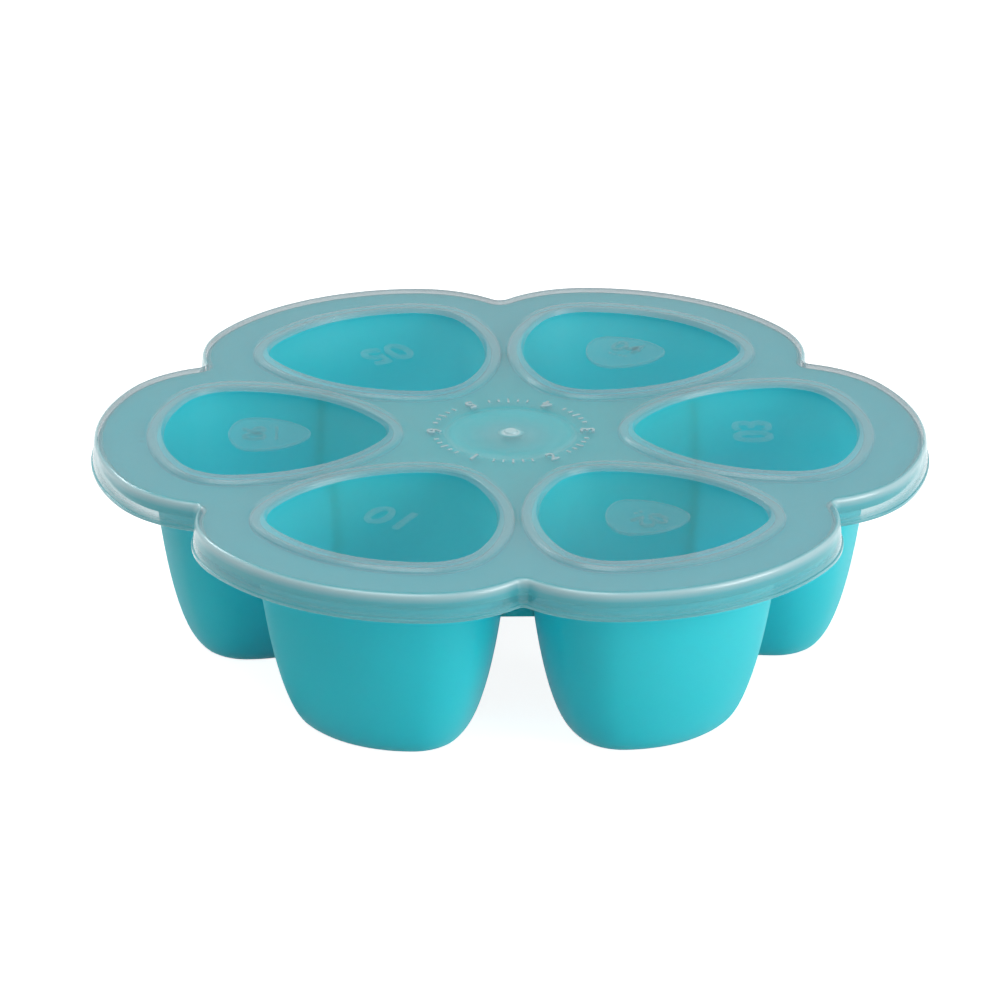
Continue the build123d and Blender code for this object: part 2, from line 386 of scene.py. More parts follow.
# ---- Mesh building ----
class Skin:
    """A closed shell that is put together from loops of points."""

    def __init__(self):
        self.mesh = bmesh.new()
        self.frost = self.mesh.verts.layers.float.new("frost")
        self.veil = self.mesh.verts.layers.float.new("veil")

    def loop(self, points, frost=1.0, veil=0.0):
        """A row of new vertices.

        frost is how matt and milky the plastic is there, above 1 also how much painted highlight it
        gets, and veil how much it hides as an edge and how far it is painted in the silicone's tint.
        """
        vertices = [self.mesh.verts.new(point) for point in points]
        for vertex in vertices:
            vertex[self.frost] = frost
            vertex[self.veil] = veil
        return vertices

    def bridge(self, first, second, closed=True):
        """Four-sided faces between two rows of as many vertices."""
        for index in range(len(first) if closed else len(first) - 1):
            after = (index + 1) % len(first)
            self.mesh.faces.new((first[index], first[after], second[after], second[index]))

    def cap(self, loop):
        """Closes a loop with triangles round a vertex in its middle."""
        middle = self.mesh.verts.new(sum((v.co for v in loop), Vector()) / len(loop))
        middle[self.frost] = loop[0][self.frost]
        for index, vertex in enumerate(loop):
            self.mesh.faces.new((vertex, loop[(index + 1) % len(loop)], middle))

    def stack(self, loops, closed=True):
        """Bridges a row of loops, one after the other."""
        for first, second in zip(loops, loops[1:]):
            self.bridge(first, second, closed)

    def finish(self, name, material, body, slot, replaced=()):
        """Turns the shell into a piece that rides on a body of the frame."""
        bmesh.ops.remove_doubles(self.mesh, verts=self.mesh.verts, dist=MERGE)
        bmesh.ops.dissolve_degenerate(self.mesh, edges=self.mesh.edges, dist=MERGE)
        bmesh.ops.recalc_face_normals(self.mesh, faces=self.mesh.faces)
        data = bpy.data.meshes.new(name)
        self.mesh.to_mesh(data)
        self.mesh.free()
        data.shade_smooth()
        data.set_sharp_from_angle(angle=SHARP)
        data.materials.append(material)
        piece = bpy.data.objects.new(name, data)
        bpy.context.scene.collection.objects.link(piece)
        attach(piece, body)
        if replaced:
            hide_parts(*replaced)
        return piece


def spun(points, angle):
    """Points turned about the tray's axis."""
    matrix = Matrix.Rotation(angle, 3, "Z")
    return [matrix @ point for point in points]


def raised(points, height):
    """Points of a plan, put at one height."""
    return [Vector((point.x, point.y, height)) for point in points]


def add_face_side(skin, plan, rings, edge_margin, edge_height, hub_radius, land_frost=1.0):
    """One side of the tray or the lid: for every cup its rings, then the land out to its sector."""
    edge = plan.sector_edge(edge_margin, hub_radius)
    centre = Vector((plan.cup_circle, 0, 0))
    rays = [atan2(point.y, point.x - centre.x) for point in edge]
    outlines = []
    for ring in rings:
        points = []
        for ray in rays:
            reach = plan.reach(ray, ring.margin, ring.scale, ring.inset)
            points.append(centre + reach * Vector((cos(ray), sin(ray), 0)))
        outlines.append((raised(points, ring.height), ring.frost))
    foot = outlines[-1][0]
    land_steps = 5
    for step in range(1, land_steps + 1):
        part = step / land_steps
        points = [start.lerp(end, part) for start, end in zip(foot, raised(edge, edge_height))]
        outlines.append((points, land_frost))
    for cup in range(plan.sizes.cup_count):
        loops = [skin.loop(spun(points, cup * plan.pitch), frost) for points, frost in outlines]
        skin.cap(loops[0])
        skin.stack(loops)


def add_hub(skin, plan, profile):
    """The middle of one side: circles about the axis, from the hub's edge in to the centre."""
    loops = []
    for radius, height, frost in profile:
        half = plan.hub_edge(radius)
        sector = [Vector((p.x, -p.y, height)) for p in half[:-1]]
        sector += raised(reversed(half[1:]), height)
        points = []
        for cup in range(plan.sizes.cup_count):
            points += spun(sector, cup * plan.pitch)
        loops.append(skin.loop(points, frost))
    skin.stack(loops)
    skin.cap(loops[-1])


def add_rim(skin, plan, profile):
    """The outer edge of the tray or the lid, which follows the flower's outline."""
    for cup in range(plan.sizes.cup_count):
        loops = []
        for margin, height, frost, veil in profile:
            half = plan.lobe_edge(margin)
            points = [Vector((p.x, -p.y, 0)) for p in reversed(half[1:])] + half
            loops.append(skin.loop(spun(raised(points, height), cup * plan.pitch), frost, veil))
        skin.stack(loops, closed=False)


def dish_profile(radius, depth, height, steps=8):
    """Radius and height down a shallow spherical dish, from its brim in."""
    sphere = (radius**2 + depth**2) / (2 * depth)
    rows = []
    for step in range(steps + 1):
        across = radius * (1 - step / (steps + 1))
        rows.append((across, height - depth + sphere - sqrt(sphere**2 - across**2)))
    return rows


# ---- Shader nodes ----
def filled(node, values):
    """A node with named values set on its inputs."""
    for name, value in values.items():
        node.inputs[name].default_value = value
    return node


class Wiring:
    """Adds nodes to one material, world or node group, and links them."""

    def __init__(self, tree):
        self.nodes = tree.nodes
        self.links = tree.links

    def node(self, kind, **values):
        """A new node with its own values."""
        return filled(self.nodes.new(kind), values)

    def group(self, tree, **values):
        """A shared node group with its own values."""
        node = self.nodes.new("ShaderNodeGroup")
        node.node_tree = tree
        return filled(node, values)

    def noise(self, scale, **values):
        """Noise over the object, of a size that another node gives."""
        place = self.nodes.new("ShaderNodeTexCoord")
        node = self.node("ShaderNodeTexNoise", **values)
        self.links.new(place.outputs["Object"], node.inputs["Vector"])
        self.links.new(scale, node.inputs["Scale"])
        return node.outputs["Fac"]

    def mapped(self, value, before=(0.0, 1.0), after=(0.0, 1.0)):
        """A value stretched from one range to another, and held inside it."""
        node = self.nodes.new("ShaderNodeMapRange")
        for name, limit in zip(("From Min", "From Max", "To Min", "To Max"), before + after):
            node.inputs[name].default_value = limit
        self.links.new(value, node.inputs["Value"])
        return node.outputs["Result"]

    def result(self, operation, *values):
        """The result of one operation on numbers and on other nodes' outputs."""
        node = self.nodes.new("ShaderNodeMath")
        node.operation = operation
        for socket, value in zip(node.inputs, values):
            if isinstance(value, bpy.types.NodeSocket):
                self.links.new(value, socket)
            else:
                socket.default_value = value
        return node.outputs["Value"]

    def blended(self, factor, first, second):
        """A colour between two others, each a colour or another node's output."""
        node = self.nodes.new("ShaderNodeMix")
        node.data_type = "RGBA"
        self.links.new(factor, node.inputs["Factor"])
        for name, colour in (("A", first), ("B", second)):
            if isinstance(colour, bpy.types.NodeSocket):
                self.links.new(colour, node.inputs[name])
            else:
                node.inputs[name].default_value = (*colour, 1.0)
        return node.outputs["Result"]

    def bumped(self, height, strength, distance):
        """Normals that a height pushes about."""
        node = self.node("ShaderNodeBump", Strength=strength, Distance=distance)
        self.links.new(height, node.inputs["Height"])
        return node.outputs["Normal"]

    def vertex_value(self, name):
        """A value that the mesh keeps at its vertices."""
        node = self.nodes.new("ShaderNodeAttribute")
        node.attribute_name = name
        return node.outputs["Fac"]


def shared_group(name, inputs, outputs):
    """An empty node group, with the two nodes that hold its named inputs and outputs."""
    group = bpy.data.node_groups.new(name, "ShaderNodeTree")
    kind = "NodeSocketFloat"
    for label, value in inputs.items():
        socket = group.interface.new_socket(name=label, in_out="INPUT", socket_type=kind)
        socket.default_value = value
    for label in outputs:
        group.interface.new_socket(name=label, in_out="OUTPUT", socket_type=kind)
    return group, group.nodes.new("NodeGroupInput"), group.nodes.new("NodeGroupOutput")


def moulded_grain():
    """Fine spark-eroded texture that a steel mould leaves, with soft larger waves."""
    name = "moulded_grain"
    if name in bpy.data.node_groups:
        return bpy.data.node_groups[name]
    group, start, end = shared_group(name, {"Grain": 2600.0, "Waves": 45.0}, ("Height", "Mask"))
    wires = Wiring(group)
    grain_share = 0.35      # height of the grain against that of the waves
    grain = wires.noise(start.outputs["Grain"], Detail=2.0, Roughness=0.55)
    waves = wires.noise(start.outputs["Waves"], Detail=3.0)
    height = wires.result("MULTIPLY_ADD", grain, grain_share, waves)
    wires.links.new(height, end.inputs["Height"])
    wires.links.new(waves, end.inputs["Mask"])
    return group


def handling_bloom():
    """Faint cloudy bloom of handled plastic and silicone."""
    name = "handling_bloom"
    if name in bpy.data.node_groups:
        return bpy.data.node_groups[name]
    group, start, end = shared_group(name, {"Size": 18.0, "Amount": 0.5}, ("Bloom",))
    wires = Wiring(group)
    cloud_range = (0.35, 0.70)      # noise from which a cloud starts, and at which it is full
    cloud = wires.noise(start.outputs["Size"], Detail=4.0, Distortion=0.6)
    spread = wires.mapped(cloud, before=cloud_range)
    bloom = wires.result("MULTIPLY", spread, start.outputs["Amount"])
    wires.links.new(bloom, end.inputs["Bloom"])
    return group


def new_material(name):
    """An empty material, the wiring for its nodes, and its Principled shader."""
    material = bpy.data.materials.new(name)
    material.use_nodes = True
    wires = Wiring(material.node_tree)
    return material, wires, wires.nodes["Principled BSDF"]


def silicone_material():
    """Soft matt silicone that light travels through, with a faint chalky bloom."""
    name = "turquoise_silicone"
    if name in bpy.data.materials:
        return bpy.data.materials[name]
    finish = bpy.context.scene.freezer_finish
    material, wires, shader = new_material(name)
    least_to_most_rough = (0.48, 0.60)
    depth_by_colour = (0.1, 1.0, 1.1)       # red light hardly enters, green and blue do
    grain = wires.group(moulded_grain(), Grain=2200.0, Waves=38.0)
    bloom = wires.group(handling_bloom(), Size=16.0, Amount=0.12)
    colour = wires.blended(bloom.outputs["Bloom"], finish.silicone, finish.silicone_bloom)
    roughness = wires.mapped(grain.outputs["Mask"], after=least_to_most_rough)
    normal = wires.bumped(grain.outputs["Height"], strength=0.12, distance=0.2 * MM)
    wires.links.new(colour, shader.inputs["Base Color"])
    wires.links.new(roughness, shader.inputs["Roughness"])
    wires.links.new(normal, shader.inputs["Normal"])
    shader.inputs["IOR"].default_value = 1.43
    shader.inputs["Subsurface Weight"].default_value = 1.0
    shader.inputs["Subsurface Radius"].default_value = depth_by_colour
    shader.inputs["Subsurface Scale"].default_value = finish.silicone_depth
    shader.inputs["Specular IOR Level"].default_value = 0.45
    return material


def lid_material():
    """Translucent plastic: frosted plate, clear windows, edges with a painted pale highlight, a
    skirt painted with the silicone's light and a dish painted in shade.
    """
    name = "frosted_plastic"
    if name in bpy.data.materials:
        return bpy.data.materials[name]
    finish = bpy.context.scene.freezer_finish
    material, wires, shader = new_material(name)
    clear_to_frosted_rough = (0.22, 0.36)
    highlight_frost = (MILKY, 1.8)       # frost from which the painted highlight starts, and at which it is full
    highlight_slant = (0.45, 0.95)       # the same edges seen from the front, and seen edge on
    highlight_share = (1.0, 0.2)         # how strong the painted highlight is in those two views
    grazing_power = 1.5
    most_cover = 0.9
    grain = wires.group(moulded_grain(), Grain=3000.0, Waves=30.0)
    bloom = wires.group(handling_bloom(), Size=14.0, Amount=0.03)
    frost, veil = wires.vertex_value("frost"), wires.vertex_value("veil")
    slant = wires.nodes.new("ShaderNodeLayerWeight").outputs["Facing"]

    plate = wires.blended(frost, finish.lid_clear, finish.lid_frost)
    # Painted silicone light: the skirt turns toward the teal tint by its veil, and the dish does too
    # as painted shade.
    silicone_tint_mask = wires.mapped(veil, before=(0.0, SKIRT_VEIL))
    body = wires.blended(silicone_tint_mask, plate, finish.lid_edge)
    # Painted highlight: above the plate's frost the colour turns toward the pale one, most where an
    # edge faces the camera.
    highlight_mask = wires.mapped(frost, before=highlight_frost)
    highlight_facing = wires.mapped(slant, before=highlight_slant, after=highlight_share)
    painted_highlight = wires.result("MULTIPLY", highlight_mask, highlight_facing)
    colour = wires.blended(painted_highlight, body, finish.lid_pale)

    cover = wires.result("ADD", bloom.outputs["Bloom"], finish.clear_cover)
    milk = finish.frost_cover - finish.clear_cover
    cover = wires.result("MULTIPLY_ADD", frost, milk, cover)
    cover = wires.result("MULTIPLY_ADD", veil, finish.edge_cover, cover)
    steep = wires.result("POWER", slant, grazing_power)
    edge_on = wires.result("MULTIPLY", steep, veil)
    cover = wires.result("MULTIPLY_ADD", edge_on, finish.grazing_cover, cover)
    cover = wires.result("MINIMUM", cover, most_cover)

    roughness = wires.mapped(frost, after=clear_to_frosted_rough)
    normal = wires.bumped(grain.outputs["Height"], strength=0.08, distance=0.1 * MM)
    wires.links.new(colour, shader.inputs["Base Color"])
    wires.links.new(cover, shader.inputs["Alpha"])
    wires.links.new(roughness, shader.inputs["Roughness"])
    wires.links.new(normal, shader.inputs["Normal"])
    shader.inputs["IOR"].default_value = 1.5
    shader.inputs["Specular IOR Level"].default_value = 0.5
    shader.inputs["Coat Weight"].default_value = 1.0
    shader.inputs["Coat IOR"].default_value = 1.6
    shader.inputs["Coat Roughness"].default_value = 0.2
    return material


# ---- The pieces ----
class FREEZER_OT_tray(bpy.types.Operator):
    """Build the silicone tray: flange, turned-down rim, sealing beads, webs and six cups"""

    bl_idname = "freezer.build_tray"
    bl_label = "Silicone tray"

    def execute(self, context):
        plan = Plan(context.scene.freezer_plan)
        tray = context.scene.freezer_tray
        lid = context.scene.freezer_lid
        top = tray_high.z - tray.bead_height
        under = top - tray.flange
        skin = Skin()

        mouth = plan.sizes.mouth_margin
        steps = 30
        depths = [sin(pi / 2 * step / steps) for step in range(steps + 1)]
        floor_shares = (0.04, 0.3, 0.55, 0.75, 0.88, 0.96)
        inner = [
            Ring(tray.wall, mouth, tray.base_scale * part, tray.wall * part)
            for part in floor_shares
        ]
        for depth in reversed(depths):
            inner.append(
                Ring(top - depth * (top - tray.wall), mouth, cup_scale(tray, depth), tray.wall)
            )
        bead = rounded(
            [
                (mouth - tray.wall, top),
                (mouth - tray.wall, tray_high.z),
                (mouth, tray_high.z),
                (mouth, top),
                (mouth + 4 * tray.bead_height, top),
            ],
            [tray.bead_radius, tray.bead_radius, tray.bead_radius / 2],
        )
        inner += [Ring(height, margin) for margin, height in bead[1:-1]]
        rim_top = rim_margin(plan, lid, top)
        edge_start = rim_top - tray.rim_edge - plan.sizes.skirt_flare
        hub = tray.dish_radius + tray.rim_edge
        add_face_side(skin, plan, inner, edge_start, top, hub)

        outer = [Ring(0.0, mouth, tray.base_scale * part) for part in floor_shares]
        for depth in reversed(depths):
            outer.append(Ring(top - depth * top, mouth, cup_scale(tray, depth)))
        outer = [ring for ring in outer if ring.height < under - tray.wall]
        join = cup_scale(tray, (top - under + tray.wall) / top)
        outer.append(Ring(under - tray.wall, mouth, join))
        outer.append(Ring(under - tray.wall / 4, mouth, cup_scale(tray, (top - under) / top)))
        outer.append(Ring(under, mouth + tray.wall / 4))
        inner_rim = rim_margin(plan, lid, under) - tray.rim_wall
        add_face_side(skin, plan, outer, inner_rim - tray.rim_edge, under, hub)

        foot = top - tray.rim_height
        foot_margin = rim_margin(plan, lid, foot)
        profile = rounded(
            [
                (edge_start, top),
                (rim_top, top),
                (foot_margin, foot),
                (foot_margin - tray.rim_wall, foot),
                (inner_rim, under),
                (inner_rim - tray.rim_edge, under),
            ],
            [tray.rim_edge, tray.rim_wall / 4, tray.rim_wall / 4, tray.rim_edge / 2],
            steps=5,
        )
        add_rim(skin, plan, [(margin, height, 1.0, 0.0) for margin, height in profile])

        for height in (top, under):
            brim = [(hub, height, 1.0), (tray.dish_radius, height, 1.0)]
            bowl = dish_profile(tray.dish_radius, tray.dish_depth, height)[1:]
            add_hub(skin, plan, brim + [(radius, z, 1.0) for radius, z in bowl])

        add_webs(skin, plan, tray, top, under)
        skin.finish("silicone_tray", silicone_material(), "tray", "silicone", ["tray"])
        return {"FINISHED"}


def cup_scale(tray, depth):
    """Size of a cup against its mouth, at a depth from 0 at the mouth to 1 at the base."""
    straight = 1 - tray.draft * depth - tray.base_scale
    return tray.base_scale + straight * sqrt(max(0.0, 1 - depth**tray.wall_power))


def rim_margin(plan, lid, height):
    """Where the tray's rim stands against the flower's outline, inside the flared skirt."""
    plate = lid_high.z - lid.ring_height
    flare = plan.sizes.skirt_flare * (plate - height) / (plate - lid_low.z)
    return flare - lid.wall - lid.clearance


def add_webs(skin, plan, tray, top, under):
    """Upright webs that tie neighbouring cups together below the flange."""
    half = plan.pitch / 2
    reach = plan.side_reach + plan.sizes.mouth_margin
    foot = top - tray.web_drop
    rounding = ((0.0, 1.0), (0.3, 0.3), (1.0, 0.0))     # rise above the foot, and cut of the edge
    rows = [(foot + tray.web_edge * rise, tray.web_edge * cut) for rise, cut in rounding]
    steps = 14
    tall = under + tray.web_bite - foot
    rows += [(foot + tall * step / steps, 0.0) for step in range(1, steps + 1)]
    for cup in range(plan.sizes.cup_count):
        turned = Matrix.Rotation((cup + 0.5) * plan.pitch, 3, "Z")
        loops = []
        for height, edge in rows:
            across = plan.cup_circle * sin(half) + tray.web_bite
            across -= reach * cup_scale(tray, (top - height) / top)
            thick = tray.web_wall / 2 - edge
            middle = plan.cup_circle * cos(half)
            corners = ((-thick, -across), (thick, -across), (thick, across), (-thick, across))
            points = [turned @ Vector((middle + x, y, height)) for x, y in corners]
            loops.append(skin.loop(points))
        skin.mesh.faces.new(loops[0])
        skin.mesh.faces.new(loops[-1])
        skin.stack(loops)


class FREEZER_OT_lid(bpy.types.Operator):
    """Build the lid: plate, skirt with its lip, six rings and windows, dish and gate mark"""

    bl_idname = "freezer.build_lid"
    bl_label = "Translucent lid"

    def execute(self, context):
        plan = Plan(context.scene.freezer_plan)
        lid = context.scene.freezer_lid
        tray = context.scene.freezer_tray
        ring_width, mouth = plan.sizes.ring_width, plan.sizes.mouth_margin
        crest = lid_high.z
        plate = crest - lid.ring_height
        window = plate - lid.window_drop
        skin = Skin()

        shares = (0.03, 0.2, 0.4, 0.6, 0.78, 0.9)
        rings = [Ring(window, scale=part, frost=CLEAR) for part in shares]
        crown = lid.ring_crown
        middle = (lid.ring_step + ring_width - lid.ring_slope) / 2
        step = rounded(
            [
                (-2 * lid.ring_radius, window),
                (0.0, window),
                (lid.ring_step, crest - crown),
                (middle, crest),
                (ring_width - lid.ring_slope, crest - crown),
                (ring_width, plate),
                (ring_width + 0.3 * MM, plate),
            ],
            [lid.ring_radius, lid.ring_radius, 0.0, lid.ring_radius, 0.0],
            steps=5,
        )
        for margin, height in step:
            # The ring's top is milky and partly painted highlight: its frost above 1 mixes in the
            # pale colour.
            frost = CLEAR if height < window + 0.3 * lid.ring_radius else RING_FROST_AND_HIGHLIGHT
            frost = MILKY if margin > ring_width - lid.ring_slope / 2 else frost
            rings.append(Ring(height, margin, frost=frost))
        bend_room = 1.1     # the plate's mesh ends this share of the shoulder before its edge
        shoulder_start = -lid.shoulder * bend_room
        hub = lid.dish_radius + lid.shoulder
        add_face_side(skin, plan, rings, shoulder_start, plate, hub)

        seat_in = mouth - tray.wall - lid.seat_gap
        seat_out = mouth + lid.seat_gap
        roof = crest - lid.wall
        panel = window - lid.wall
        below = plate - lid.wall
        rings = [Ring(panel, scale=part, frost=CLEAR) for part in shares]
        groove = rounded(
            [
                (0.0, panel),
                (seat_in, panel),
                (seat_in, roof),
                (seat_out, roof),
                (seat_out, below),
                (seat_out + lid.wall, below),
            ],
            [lid.ring_radius, lid.ring_radius, lid.ring_radius, lid.lip_radius],
            steps=3,
        )
        for margin, height in groove:
            frost = CLEAR if margin < seat_in else MILKY
            rings.append(Ring(height, margin, frost=frost))
        hollow_start = -lid.wall - lid.shoulder
        add_face_side(skin, plan, rings, hollow_start, below, hub)

        add_rim(skin, plan, skirt_profile(plan, lid, tray, shoulder_start, hollow_start))

        bowl = dish_profile(lid.dish_radius, lid.dish_depth, plate)
        gate_foot = plate - lid.dish_depth
        gate_edge = lid.gate_radius
        gate_top = gate_foot + lid.gate_height
        taper, flat = 0.9, 0.1      # the gate's top edge and its inner flat, against its foot
        nub = rounded(
            [
                (2 * gate_edge, gate_foot),
                (gate_edge, gate_foot),
                (gate_edge * taper, gate_top),
                (gate_edge * flat, gate_top),
            ],
            [0.3 * gate_edge, 0.25 * gate_edge],
        )
        outer_bowl = [(radius, height) for radius, height in bowl if radius > 2 * gate_edge]
        profile = [(hub, plate, MILKY)]
        profile += [(*point, DISH_FROST) for point in outer_bowl + nub[:1]]
        # Painted highlight: the gate mark is mixed fully to the pale colour.
        profile += [(*point, GATE_FROST_AND_HIGHLIGHT) for point in nub[1:]]
        add_hub(skin, plan, profile)
        bowl = dish_profile(lid.dish_radius, lid.dish_depth, below)
        add_hub(skin, plan, [(hub, below, MILKY)] + [(*point, DISH_FROST) for point in bowl])

        for vertex in skin.mesh.verts:
            reach = vertex.co.xy.length
            near_gate = 1 - min(1.0, reach / plan.cup_circle)
            vertex[skin.frost] *= 1 - GATE_CLEARING * near_gate
            # Painted shade, strongest at the middle of the dish.
            dish_shade_mask = 1 - min(1.0, reach / lid.dish_radius)
            vertex[skin.veil] = max(vertex[skin.veil], DISH_PAINTED_SHADE * dish_shade_mask)
        skin.finish("lid_shell", lid_material(), "lid", "lid_plastic", ["lid"])
        return {"FINISHED"}


def skirt_frost(bend):
    """How milky the edge is, and how much painted highlight it gets, from the plate at a bend of 0
    to the upright skirt at 1.

    It rises quickly from the plate to a pale band of painted highlight over the shoulder, then
    falls to the skirt's.
    """
    rise_rate, fall_start, fall_rate = 4, 4.7, 4.8
    rise = MILKY + rise_rate * bend
    fall = fall_start - fall_rate * bend
    return max(SKIRT_FROST, min(rise, SHOULDER_FROST_AND_HIGHLIGHT, fall))


def skirt_veil(bend, drop):
    """How much the edge hides and is painted in the silicone's tint, where drop is 0 at the plate's
    height and 1 at the skirt's foot.
    """
    shoulder_veil, foot_power, onset_rate = 0.6, 1.9, 6
    over_shoulder = shoulder_veil * (1 - bend)
    down_skirt = SKIRT_VEIL + (1 - SKIRT_VEIL) * drop**foot_power
    return max(down_skirt, over_shoulder) * min(1.0, onset_rate * bend)


def skirt_profile(plan, lid, tray, shoulder_start, hollow_start):
    """Profile of the shoulder, the skirt with its lip and the inside, as add_rim takes it."""
    plate = lid_high.z - lid.ring_height
    below = plate - lid.wall
    rim_foot = tray_high.z - tray.bead_height - tray.rim_height
    lip_top = lid_low.z + lid.lip_height
    flare = plan.sizes.skirt_flare
    blend = lid.lip_depth

    def lean(height):
        return flare * (plate - height) / (plate - lid_low.z)

    profile = [(shoulder_start, plate), (0.0, plate)]
    profile += [(lean(height), height) for height in (rim_foot + blend, rim_foot - blend, lip_top)]
    profile += [(flare + lid.lip_depth, lip_top), (flare + lid.lip_depth, lid_low.z)]
    profile.append((flare - lid.wall, lid_low.z))
    inside = (rim_foot - blend, rim_foot + blend)
    profile += [(lean(height) - lid.wall, height) for height in inside]
    profile += [(-lid.wall, below), (hollow_start, below)]
    hollow_radius = lid.shoulder - lid.wall
    radii = [lid.shoulder, 0, 0, 0, lid.lip_radius, lid.lip_radius, 0, 0, 0, hollow_radius]
    rows = []
    top, bend_radius = plate, lid.shoulder
    for margin, height in rounded(profile, radii, steps=8):
        if height <= lid_low.z and margin <= flare - lid.wall:
            top, bend_radius = below, hollow_radius
        fall = max(0.0, top - height)
        bend = min(1.0, fall / bend_radius)
        drop = fall / (top - lid_low.z)
        rows.append((margin, height, skirt_frost(bend), skirt_veil(bend, drop)))
    return rows


# ---- Moulded marks ----
def add_text(skin, words, height, relief, place, frost):
    """Adds raised characters to a skin, centred on place."""
    curve = bpy.data.curves.new("mark", "FONT")
    curve.body = words
    curve.align_x = "CENTER"
    curve.align_y = "CENTER"
    capital = 0.72      # height of the built-in font's capitals against its size
    bevel = 0.012       # rounding of the characters against their height
    curve.size = height / capital
    curve.extrude = relief
    curve.offset = height * bevel
    curve.bevel_depth = height * bevel
    curve.bevel_resolution = 1
    curve.resolution_u = 6
    holder = bpy.data.objects.new("mark", curve)
    bpy.context.scene.collection.objects.link(holder)
    bpy.context.view_layer.update()
    depsgraph = bpy.context.evaluated_depsgraph_get()
    made = bpy.data.meshes.new_from_object(holder.evaluated_get(depsgraph))
    made.transform(place)
    first = len(skin.mesh.verts)
    skin.mesh.from_mesh(made)
    skin.mesh.verts.ensure_lookup_table()
    for vertex in skin.mesh.verts[first:]:
        vertex[skin.frost] = frost
    bpy.data.objects.remove(holder)
    bpy.data.curves.remove(curve)
    bpy.data.meshes.remove(made)


def facing(angle, radius, height, outward):
    """Where a mark sits: on a ray from the axis, its top pointing outward or to the middle."""
    spin = angle - pi / 2 if outward else angle + pi / 2
    place = Vector((radius * cos(angle), radius * sin(angle), height))
    return Matrix.Translation(place) @ Matrix.Rotation(spin, 4, "Z")


def cup_angle(plan, number):
    """Direction of a numbered cup. The first is the front left one, and they run anticlockwise."""
    return radians(240) + (number - 1) * plan.pitch


class FREEZER_OT_window_numbers(bpy.types.Operator):
    """Build the raised compartment numbers in every second window"""

    bl_idname = "freezer.build_window_numbers"
    bl_label = "Window numbers"

    def execute(self, context):
        plan = Plan(context.scene.freezer_plan)
        lid = context.scene.freezer_lid
        marks = context.scene.freezer_marks
        window = lid_high.z - lid.ring_height - lid.window_drop
        for number in range(1, plan.sizes.cup_count, 2):
            skin = Skin()
            place = facing(cup_angle(plan, number), plan.cup_circle, window, outward=False)
            words = f"{number:02d}"
            add_text(skin, words, marks.window_number, marks.number_relief, place, marks.frost)
            skin.finish(f"window_number_{number}", lid_material(), "lid", "lid_plastic")
        return {"FINISHED"}


class FREEZER_OT_window_pads(bpy.types.Operator):
    """Build the raised pads, each with its number and a row of dots, in the other windows"""

    bl_idname = "freezer.build_window_pads"
    bl_label = "Window pads"

    def execute(self, context):
        plan = Plan(context.scene.freezer_plan)
        lid = context.scene.freezer_lid
        marks = context.scene.freezer_marks
        window = lid_high.z - lid.ring_height - lid.window_drop
        top = window + marks.pad_relief
        outward_shift = 0.02                        # pad's marks, against the window's reach
        number_rise, dots_drop = 2.4 * MM, 3.6 * MM
        dot_pitch = 3.0 * marks.pad_dot
        for number in range(2, plan.sizes.cup_count + 1, 2):
            skin = Skin()
            angle = cup_angle(plan, number)
            self.add_pad(skin, plan, marks, angle, window, top)
            centre = plan.cup_circle + outward_shift * plan.side_reach
            place = facing(angle, centre + number_rise, top, outward=True)
            words = f"{number:02d}"
            add_text(skin, words, marks.pad_number, marks.number_relief, place, marks.frost)
            for dot in range(number):
                shift = (dot - (number - 1) / 2) * dot_pitch
                spot = facing(angle, centre - dots_drop, top, outward=True)
                self.add_dot(skin, spot @ Matrix.Translation((shift, 0, 0)), marks)
            skin.finish(f"window_pad_{number}", lid_material(), "lid", "lid_plastic")
        return {"FINISHED"}

    def add_pad(self, skin, plan, marks, angle, window, top):
        """A low pad of the window's own shape, with a rounded edge."""
        foot = window - 2 * marks.pad_relief
        edge = marks.pad_relief
        steps = 96
        rows = [(0.0, foot), (0.0, top - edge * 0.6), (-edge * 0.15, top - edge * 0.2)]
        rows += [(-edge * 0.6, top), (-3 * edge, top)]
        loops = []
        for inset, height in rows:
            points = []
            for step in range(steps):
                ray = tau * step / steps
                reach = plan.reach(ray, scale=marks.pad_scale) + inset
                points.append(Vector((plan.cup_circle + reach * cos(ray), reach * sin(ray), height)))
            milky = 3 * marks.frost if height > foot and inset > -edge else marks.frost
            loops.append(skin.loop(spun(points, angle), milky))
        skin.cap(loops[0])
        skin.stack(loops)
        middle = spun([Vector((plan.cup_circle, 0, top))], angle)[0]
        for part in (0.6, 0.2):
            inner = [middle.lerp(vertex.co, part) for vertex in loops[4]]
            loops.append(skin.loop(inner, marks.frost))
        skin.stack(loops[4:])
        skin.cap(loops[-1])

    def add_dot(self, skin, place, marks):
        """A small raised dome, whose rows are shares of its radius and its height."""
        origin = Vector((0, 0, 0))
        loops = []
        for radius, height in ((1.0, -0.5), (1.0, 0.4), (0.8, 0.85), (0.35, 1.0)):
            circle = arc(origin, radius * marks.pad_dot, 0, tau, steps=20)[:-1]
            points = [place @ point for point in raised(circle, height * marks.number_relief)]
            loops.append(skin.loop(points, marks.frost))
        skin.cap(loops[0])
        skin.stack(loops)
        skin.cap(loops[-1])


